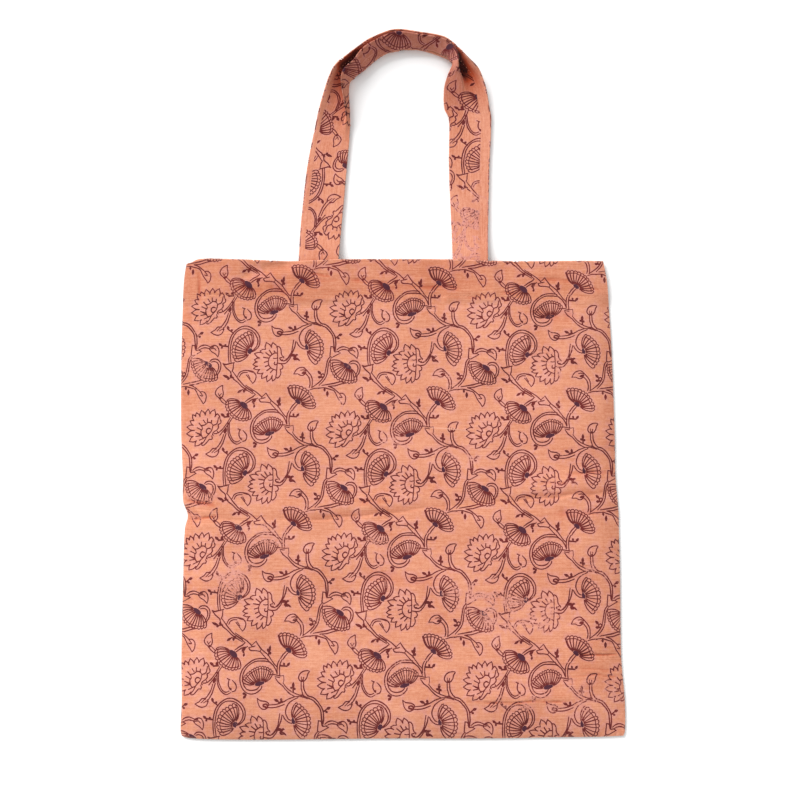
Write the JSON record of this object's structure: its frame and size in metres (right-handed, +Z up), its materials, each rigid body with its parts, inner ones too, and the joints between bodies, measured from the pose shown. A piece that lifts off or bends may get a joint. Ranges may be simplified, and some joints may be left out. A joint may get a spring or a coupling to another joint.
{
  "type": "printed tote bag",
  "caption": "Flat block-printed cotton tote bag lying on its back, open at the mouth, with long flat handles sewn inside the hem and laid out above it.",
  "frame": {"origin": "middle of the bounding box in plan, on the ground under the back panel", "axes": "+Z up out of the front panel, +Y from the bottom seam towards the mouth and the handles, +X to the right as seen from the front"},
  "size_m": [0.3898, 0.6388, 0.0145],
  "materials": {
    "panel_cloth": "matt woven cotton with a dark aubergine block print",
    "handle_cloth": "matt woven cotton with a dark aubergine block print, folded and stitched along its edges"
  },
  "bodies": {
    "root": {"front_panel": "panel_cloth", "back_panel": "panel_cloth", "front_handle": "handle_cloth", "back_handle": "handle_cloth"}
  },
  "joints": []
}
